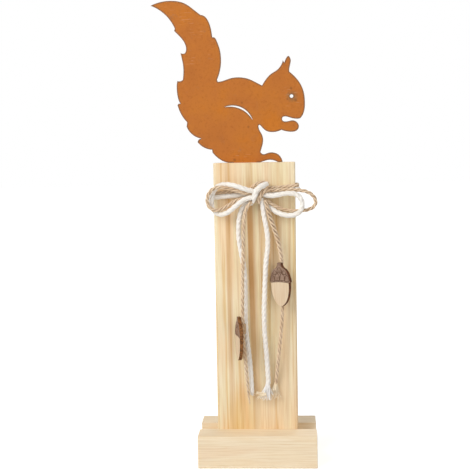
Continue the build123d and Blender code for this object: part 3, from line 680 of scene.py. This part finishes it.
def rusted_steel():
    """Mild steel sheet, weathered to even rust and waxed: matt orange brown, greyer where the laser cut it."""
    material, tree, shader, coords = new_material(
        "mild steel, rusted and waxed", {"Roughness": 0.8, "Specular IOR Level": 0.1}
    )
    where = coords["Object"]
    blotch = add(tree, "TexNoise", {"Vector": where, "Scale": 30.0, "Detail": 4.0, "Roughness": 0.6})
    base = add(
        tree, "ValToRGB", {"Fac": blotch},
        stops=[(0.3, "#B76F35"), (0.46, "#BF7436"), (0.55, "#C27735"), (0.66, "#C7782E"), (0.75, "#CB7B30")],
    )
    grit = add(tree, "TexNoise", {"Vector": where, "Scale": 380.0, "Detail": 4.0, "Roughness": 0.7})
    grit_tone = add(tree, "ValToRGB", {"Fac": grit}, stops=[(0.3, "#E4D6CA"), (0.5, "#FFFFFF"), (0.7, "#FFF8EC")])
    base = add(tree, "Mix", {0: 0.55, 6: base, 7: grit_tone}, data_type="RGBA", blend_type="MULTIPLY")
    # Grey, thin rust in patches, most on the tail and round the eye, and a few dark spots
    patch = add(tree, "TexNoise", {"Vector": where, "Scale": 95.0, "Detail": 4.0, "Roughness": 0.68})
    patch = add(tree, "MapRange", {"Value": patch, "From Min": 0.6, "From Max": 0.76})
    near = [nearness(tree, where, spot, size, 0.3 * size) for spot, size in RUST_PATCHES]
    weight = near[0]
    for other in near[1:]:
        weight = add(tree, "Math", {0: weight, 1: other}, operation="MAXIMUM")
    mild = add(tree, "Math", {0: weight, 1: 0.7, 2: 0.28}, operation="MULTIPLY_ADD")
    patch = add(tree, "Math", {0: patch, 1: mild}, operation="MULTIPLY")
    base = add(tree, "Mix", {0: patch, 6: base, 7: "#8F6650"}, data_type="RGBA")
    for spot, size in RUST_SPECKS:
        speck = nearness(tree, where, spot, 1.5 * size, 0.5 * size, 0.6)
        base = add(tree, "Mix", {0: speck, 6: base, 7: "#74492A"}, data_type="RGBA")
    # A grey brown smudge round the eye, as uneven as the grit
    smudge = nearness(tree, where, EYE_SMUDGE, 5.8, 1.6, 1.25)
    smudge = add(tree, "Math", {0: smudge, 1: grit}, operation="MULTIPLY")
    base = add(tree, "Mix", {0: smudge, 6: base, 7: "#7E6849"}, data_type="RGBA")
    # Scratches: short level lines, about a third of a millimetre wide
    drawn = add(tree, "VectorMath", {0: where, 1: (0.14, 1.0, 1.0)}, operation="MULTIPLY")
    lines = add(tree, "TexNoise", {"Vector": drawn, "Scale": 900.0, "Detail": 1.0})
    lines = add(tree, "MapRange", {"Value": lines, "From Min": 0.6, "From Max": 0.72})
    lines = add(tree, "Math", {0: lines, 1: weight}, operation="MULTIPLY")
    lines = add(tree, "Math", {0: lines, 1: 0.55}, operation="MULTIPLY")
    base = add(tree, "Mix", {0: lines, 6: base, 7: "#D39E74"}, data_type="RGBA")
    # The cut faces, and a narrow rim beside every cut, are grey brown
    round_normal = add(tree, "Bevel", {"Radius": 2.2 * MM}, samples=6)
    facing = add(tree, "VectorMath", {0: round_normal, 1: (0.0, 1.0, 0.0)}, operation="DOT_PRODUCT")
    facing = add(tree, "Math", {0: facing}, operation="ABSOLUTE")
    edge = add(tree, "MapRange", {"Value": facing, "From Min": 0.9995, "From Max": 0.96})
    base = add(tree, "Mix", {0: edge, 6: base, 7: "#7D5F48"}, data_type="RGBA")
    bump = add(tree, "Bump", {"Strength": 0.25, "Distance": 0.2 * MM, "Height": grit})
    feed(tree, shader, {"Base Color": base, "Normal": bump})
    return material


def zinc_plated():
    """Turned steel, zinc plated: satin pale metal with faint lathe rings."""
    material, tree, shader, coords = new_material(
        "steel, turned and zinc plated", {"Metallic": 1.0, "Roughness": 0.35, "Base Color": "#B9B8B2"}
    )
    rings = add(tree, "TexNoise", {"Vector": coords["Object"], "Scale": 1500.0, "Detail": 2.0})
    rough = add(tree, "MapRange", {"Value": rings, "To Min": 0.28, "To Max": 0.45})
    feed(tree, shader, {"Roughness": rough})
    return material


def spun_fibre(name, tones, fleck, groove_shade_tone, groove_shade_share, fibre_turn, sheen):
    """Spun fibre: hair lines that run round each strand, fibres of several tones, painted shade in the strands'
    grooves.
    """
    material, tree, shader, coords = new_material(
        name, {"Roughness": 0.85, "Specular IOR Level": 0.15, "Sheen Weight": sheen, "Sheen Roughness": 0.5}
    )
    along = add(tree, "Attribute", attribute_name="along").outputs["Fac"]
    around = add(tree, "Attribute", attribute_name="around").outputs["Fac"]
    strand = add(tree, "Attribute", attribute_name="strand").outputs["Fac"]
    # The hairs go once round their strand in the length of fibre_turn, and each strand has its own
    twist = add(tree, "Math", {0: along, 1: fibre_turn * MM}, operation="DIVIDE")
    turned = add(tree, "Math", {0: around, 1: twist}, operation="ADD")
    angle = add(tree, "Math", {0: turned, 1: 2 * math.pi}, operation="MULTIPLY")
    cosine = add(tree, "Math", {0: angle}, operation="COSINE")
    sine = add(tree, "Math", {0: angle}, operation="SINE")
    shifted = add(tree, "Math", {0: strand, 1: 11.0}, operation="MULTIPLY")
    lengthwise = add(tree, "Math", {0: along, 1: 160.0, 2: shifted}, operation="MULTIPLY_ADD")
    space = add(tree, "CombineXYZ", {0: cosine, 1: sine, 2: lengthwise})
    hair = add(tree, "TexNoise", {"Vector": space, "Scale": 4.0, "Detail": 4.0, "Roughness": 0.7})
    base = add(tree, "ValToRGB", {"Fac": hair}, stops=[(0.3, tones[0]), (0.5, tones[1]), (0.7, tones[2])])
    # Flecks of another tone, and painted shade that lies unevenly in the grooves
    patch = add(tree, "TexNoise", {"Vector": coords["Object"], "Scale": 120.0, "Detail": 2.0})
    patch = add(tree, "MapRange", {"Value": patch, "From Min": 0.45, "From Max": 0.75})
    base = add(tree, "Mix", {0: patch, 6: base, 7: fleck}, data_type="RGBA")
    groove = add(tree, "Attribute", attribute_name="groove").outputs["Fac"]
    uneven = add(tree, "TexNoise", {"Vector": coords["Object"], "Scale": 210.0, "Detail": 1.0})
    uneven = add(tree, "MapRange", {"Value": uneven, "From Min": 0.4, "From Max": 0.62, "To Min": 0.35})
    groove = add(tree, "Math", {0: groove, 1: uneven}, operation="MULTIPLY")
    groove = add(tree, "Math", {0: groove, 1: groove_shade_share}, operation="MULTIPLY")
    base = add(tree, "Mix", {0: groove, 6: base, 7: groove_shade_tone}, data_type="RGBA")
    bump = add(tree, "Bump", {"Strength": 0.5, "Distance": 0.2 * MM, "Height": hair})
    feed(tree, shader, {"Base Color": base, "Normal": bump})
    return material


def laser_cut_ply(name, spot, turn, lean, burn_and_light_tones):
    """Birch plywood, laser cut: pale face, a raster-burnt cap with darker lines, and burnt edges."""
    material, tree, shader, coords = new_material(name, {"Roughness": 0.7, "Specular IOR Level": 0.2})
    rotation = (0.0, math.radians(-lean), math.radians(-turn))
    own = add(
        tree, "Mapping",
        {"Vector": coords["Object"], "Location": tuple(place(spot)), "Rotation": rotation},
        vector_type="TEXTURE",
    )
    facing = add(tree, "Mapping", {"Vector": coords["Normal"], "Rotation": rotation}, vector_type="TEXTURE")
    facing = add(tree, "SeparateXYZ", {0: facing}).outputs[1]
    x, y, z = add(tree, "SeparateXYZ", {0: own}).outputs
    # Face wood: fine upright grain
    grain = add(tree, "VectorMath", {0: own, 1: (1.0, 1.0, 0.06)}, operation="MULTIPLY")
    grain = add(tree, "TexNoise", {"Vector": grain, "Scale": 600.0, "Detail": 3.0})
    face = add(tree, "ValToRGB", {"Fac": grain}, stops=[(0.3, "#D6BB99"), (0.5, "#DDC6A8"), (0.7, "#E2CEB3")])
    # Cap: above a shallow arc
    across = add(tree, "Math", {0: x, 1: ACORN_WIDTH * MM}, operation="DIVIDE")
    square = add(tree, "Math", {0: across, 1: across}, operation="MULTIPLY")
    line = add(tree, "Math", {0: square, 1: CAP_FALL}, operation="MULTIPLY")
    line = add(tree, "Math", {0: line, 1: CAP_FOOT}, operation="ADD")
    drop = add(tree, "Math", {0: z, 1: -ACORN_HEIGHT * MM}, operation="DIVIDE")
    cap = add(tree, "Math", {0: drop, 1: line}, operation="LESS_THAN")
    front = add(tree, "Math", {0: facing, 1: -0.5}, operation="LESS_THAN")
    cap = add(tree, "Math", {0: cap, 1: front}, operation="MULTIPLY")
    # The laser's raster: its level passes are finer than would show, so they are drawn half a millimetre apart
    raster = add(tree, "Math", {0: z, 1: 2 * math.pi / (0.5 * MM)}, operation="MULTIPLY")
    raster = add(tree, "Math", {0: raster}, operation="SINE")
    burnt = add(tree, "TexNoise", {"Vector": own, "Scale": 300.0, "Detail": 3.0})
    burnt = add(tree, "Math", {0: raster, 1: 0.08, 2: burnt}, operation="MULTIPLY_ADD")
    fill = add(tree, "ValToRGB", {"Fac": burnt}, stops=[(0.3, "#7E6454"), (0.5, "#957A68"), (0.75, "#AC9381")])
    face = add(tree, "Mix", {0: cap, 6: face, 7: fill}, data_type="RGBA")
    # Scored lines lie below the face and are burnt darker
    deep = add(
        tree, "MapRange", {"Value": y, "From Min": (ACORN_FACE + 0.08) * MM, "From Max": (ACORN_FACE + 0.2) * MM}
    )
    deep = add(tree, "Math", {0: deep, 1: front}, operation="MULTIPLY")
    face = add(tree, "Mix", {0: deep, 6: face, 7: "#5C4230"}, data_type="RGBA")
    # Burnt edge, with the plies, a millimetre each, as faint lines
    side = add(tree, "Math", {0: facing}, operation="ABSOLUTE")
    side = add(tree, "Math", {0: side, 1: 0.6}, operation="LESS_THAN")
    ply = add(tree, "Math", {0: y, 1: 2 * math.pi / (1.0 * MM)}, operation="MULTIPLY")
    ply = add(tree, "Math", {0: ply}, operation="SINE")
    char = add(tree, "TexNoise", {"Vector": own, "Scale": 500.0, "Detail": 2.0})
    char = add(tree, "Math", {0: ply, 1: 0.12, 2: char}, operation="MULTIPLY_ADD")
    # The edge's tones are the burn, painted lighter on the left acorn and darker on the right one for the light
    edge = add(tree, "ValToRGB", {"Fac": char}, stops=[(0.3, burn_and_light_tones[0]), (0.55, burn_and_light_tones[1]), (0.8, burn_and_light_tones[2])])
    face = add(tree, "Mix", {0: side, 6: face, 7: edge}, data_type="RGBA")
    bump = add(tree, "Bump", {"Strength": 0.2, "Distance": 0.1 * MM, "Height": grain})
    feed(tree, shader, {"Base Color": face, "Normal": bump})
    return material


def set_glue():
    """Hot-melt glue, set over the twine: clear enough to show its brown, a little glossy, uneven."""
    material, tree, shader, coords = new_material(
        "hot-melt glue, set", {"Base Color": "#BC9C78", "Roughness": 0.4}
    )
    uneven = add(tree, "TexNoise", {"Vector": coords["Object"], "Scale": 500.0, "Detail": 2.0})
    tone = add(tree, "ValToRGB", {"Fac": uneven}, stops=[(0.3, "#A88864"), (0.7, "#CBAD88")])
    bump = add(tree, "Bump", {"Strength": 0.4, "Distance": 0.3 * MM, "Height": uneven})
    feed(tree, shader, {"Base Color": tone, "Normal": bump})
    return material


# Stage: a pale floor, a white surround that the lens sees, and soft lamps

def seen_by_lens(tree):
    """One for rays from the lens, straight or by way of gloss or glass, and nothing for the light's own."""
    ray = add(tree, "LightPath").outputs
    seen = add(tree, "Math", {0: ray["Is Camera Ray"], 1: ray["Is Glossy Ray"]}, operation="MAXIMUM")
    return add(tree, "Math", {0: seen, 1: ray["Is Transmission Ray"]}, operation="MAXIMUM")


def make_stage():
    mesh = bpy.data.meshes.new("floor")
    corners = [(x * FLOOR_REACH, y * FLOOR_REACH, 0) for x, y in ((-1, -1), (1, -1), (1, 1), (-1, 1))]
    mesh.from_pydata(corners, [], [(0, 1, 2, 3)])
    floor = new_object("floor", mesh)
    material = bpy.data.materials.new("matt white floor")
    tree = empty_tree(material)
    # Near the object the floor's own light is weaker, so that the shadow shows
    away = add(tree, "VectorMath", {0: add(tree, "TexCoord").outputs["Object"]}, operation="LENGTH")
    away = add(tree, "MapRange", {"Value": away, "From Min": 0.3, "From Max": 1.6, "To Min": 0.56, "To Max": 0.85})
    seen = add(tree, "Math", {0: seen_by_lens(tree), 1: away}, operation="MULTIPLY")
    matt = add(tree, "BsdfDiffuse", {"Color": "#EFEFEF"})
    glow = add(tree, "Emission", {"Color": "#FFFFFF", "Strength": seen})
    both = add(tree, "AddShader", {0: matt, 1: glow})
    add(tree, "OutputMaterial", {"Surface": both})
    mesh.materials.append(material)

    world = bpy.data.worlds.new("studio")
    bpy.context.scene.world = world
    tree = empty_tree(world)
    soft = add(tree, "Background", {"Color": "#FFFAF5", "Strength": 0.33})
    white = add(tree, "Background", {"Color": "#FFFFFF", "Strength": 1.0})
    both = add(tree, "MixShader", {0: seen_by_lens(tree), 1: soft, 2: white})
    add(tree, "OutputWorld", {"Surface": both})

    for name, (azimuth, elevation, distance, size, power, code) in LAMPS.items():
        data = bpy.data.lights.new(name, "AREA")
        data.size = size
        data.energy = power
        data.color = colour(code)[:3]
        lamp = new_object(name, data)
        a, e = math.radians(azimuth), math.radians(elevation)
        back = Vector((math.sin(a) * math.cos(e), -math.cos(a) * math.cos(e), math.sin(e)))
        lamp.location = Vector(LAMP_AIM) + back * distance
        lamp.rotation_euler = (-back).to_track_quat("-Z", "Y").to_euler()


# The scene

make_camera()
bpy.context.scene.view_settings.view_transform = "Standard"
make_stage()

materials = {
    "jute": spun_fibre(
        "jute, spun and laid", tones=["#CBAB8C", "#EFD7B8", "#FAEBD2"], fleck="#DFC09C",
        groove_shade_tone="#8A6240", groove_shade_share=0.5, fibre_turn=6.0, sheen=0.3,
    ),
    # Loose jute is painted much lighter than the laid jute, to make up for the shade among its thin fibres
    "loose jute, painted lighter": spun_fibre(
        "jute, loose fibre, painted lighter", tones=["#F4E0BE", "#FAEACE", "#FDF4E4"], fleck="#F7E4C4",
        groove_shade_tone="#F4E0BE", groove_shade_share=0.0, fibre_turn=6.0, sheen=0.3,
    ),
    "cotton": spun_fibre(
        "cotton, spun and laid", tones=["#F7F2EA", "#FBF8F2", "#FDFBF7"], fleck="#F9F3E9",
        groove_shade_tone="#E2D8CB", groove_shade_share=0.25, fibre_turn=9.0, sheen=0.6,
    ),
    # Loose cotton is painted lighter than the laid cotton, to make up for the shade among its fibres
    "loose cotton, painted lighter": spun_fibre(
        "cotton, loose fibre, painted lighter", tones=["#FBF7F2", "#FEFCF9", "#FFFEFD"], fleck="#FEF9F7",
        groove_shade_tone="#FEF9F7", groove_shade_share=0.0, fibre_turn=9.0, sheen=0.6,
    ),
}
cord_tree = make_cord_tree()
fray_tree = make_fray_tree()

cords = {}
for seed, (name, route) in enumerate(ROUTES.items()):
    cords[name] = lay_cord(name, [place(spot) for spot in route], seed, cord_tree, materials[kind_of(name)])
for seed, (name, drop) in enumerate(BANDS.items(), FIRST_BAND_SEED):
    kind = kind_of(name)
    lay_cord(name, band_spots(drop, LAYS[kind]["diameter"] / 2), seed, cord_tree, materials[kind], closed=True)

for name, (start, aim, material, slot, fibres) in LOOSE_ENDS.items():
    make_loose_end(name, start, aim, fibres, fray_tree, materials[material])

for name, (piece, line) in cords.items():
    if "knot" in name:
        continue

# A pine's rings are its years from the pith outward: outer radius in millimetres, late wood's strength, and its
# share of the year. The left acorn's edge has lighter tones than the right one's: painted light on the left one
# and painted shade on the right one
surfaces = {
    "post_board": planed_pine(
        "pine board, planed", turn=(math.radians(-0.6), math.radians(0.25), 0.0), pith=(18.0, 13.0), rings=[
            (0.0, 0.0, 0.0), (6.0, 0.3, 0.3), (12.0, 0.3, 0.3), (17.5, 0.3, 0.3), (23.4, 0.4, 0.3),
            # The year that ends at 32.6 mm, broad and strong, is partly late wood and partly painted shadow of the
            # cords
            (26.2, 0.45, 0.32), (32.6, 1.0, 0.54), (40.5, 0.3, 0.14), (48.2, 0.7, 0.45), (60.0, 0.2, 0.2),
        ],
        warp=1.3, tones=["#F6E8C3", "#F7E9CA", "#F6DEBA", "#D2A56F"], streak_share=0.8, streak_run=0.03,
        streak_from=0.34, foot_tint=(-14.0, 34.0, 17.0, 42.0),
    ),
    "base_block": planed_pine(
        "pine block, planed", turn=(0.0, math.radians(-90), math.radians(0.5)), pith=(-70.0, 30.0), rings=[
            (0.0, 0.0, 0.0), (20.0, 0.08, 0.3), (40.0, 0.1, 0.3), (52.0, 0.05, 0.3), (60.0, 0.12, 0.3),
            (69.0, 0.06, 0.3), (76.0, 0.12, 0.3), (85.0, 0.05, 0.3), (95.0, 0.1, 0.3), (110.0, 0.06, 0.3),
            (130.0, 0.1, 0.3),
        ],
        warp=6.0, tones=["#F7E6C9", "#F8E8CD", "#F6E2C5", "#ECCB9F"], streak_share=0.45, streak_run=0.12,
        streak_from=0.25,
    ),
    "squirrel_plate": rusted_steel(),
    "base_screws": zinc_plated(),
    "left_acorn": laser_cut_ply(
        "left acorn plywood, laser cut, edge painted lit", spot=(-11.3, 10.6, 130.9), turn=76.0, lean=0.0,
        burn_and_light_tones=["#583821", "#895C34", "#B27A42"],
    ),
    "right_acorn": laser_cut_ply(
        "right acorn plywood, laser cut, edge painted shaded", spot=(23.1, 6.8, 84.9), turn=40.0, lean=3.0,
        burn_and_light_tones=["#45291A", "#6C4329", "#8C5934"],
    ),
    "left_glue_bead": set_glue(),
}
surfaces["right_glue_bead"] = surfaces["left_glue_bead"]
for name, material in surfaces.items():
    nodes[name].data.materials.clear()
    nodes[name].data.materials.append(material)
